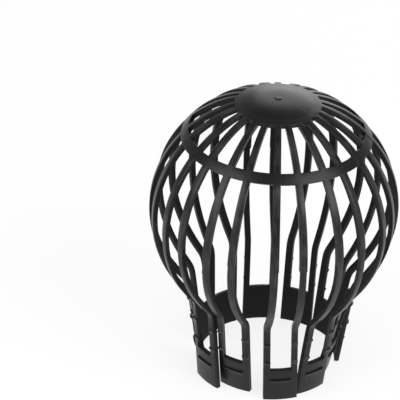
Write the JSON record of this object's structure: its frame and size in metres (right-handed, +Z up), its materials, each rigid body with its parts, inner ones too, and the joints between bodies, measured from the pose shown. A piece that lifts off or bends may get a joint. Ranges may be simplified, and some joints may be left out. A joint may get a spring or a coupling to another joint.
{
  "type": "downpipe leaf filter",
  "caption": "Black moulded balloon leaf filter: a domed cap, a round cage of ribs with one belt, and a ring of spring feet that push into a downpipe outlet.",
  "frame": {"origin": "middle of the circle of foot bottoms, on the surface that the filter stands on", "axes": "+Z up the axis of the cage, from the feet to the domed cap; X and Y pass between neighbouring rib pairs"},
  "size_m": [0.1146, 0.1146, 0.1409],
  "materials": {
    "black_plastic": "satin moulded black plastic"
  },
  "bodies": {
    "root": {"leaf_filter": "black_plastic"}
  },
  "joints": []
}
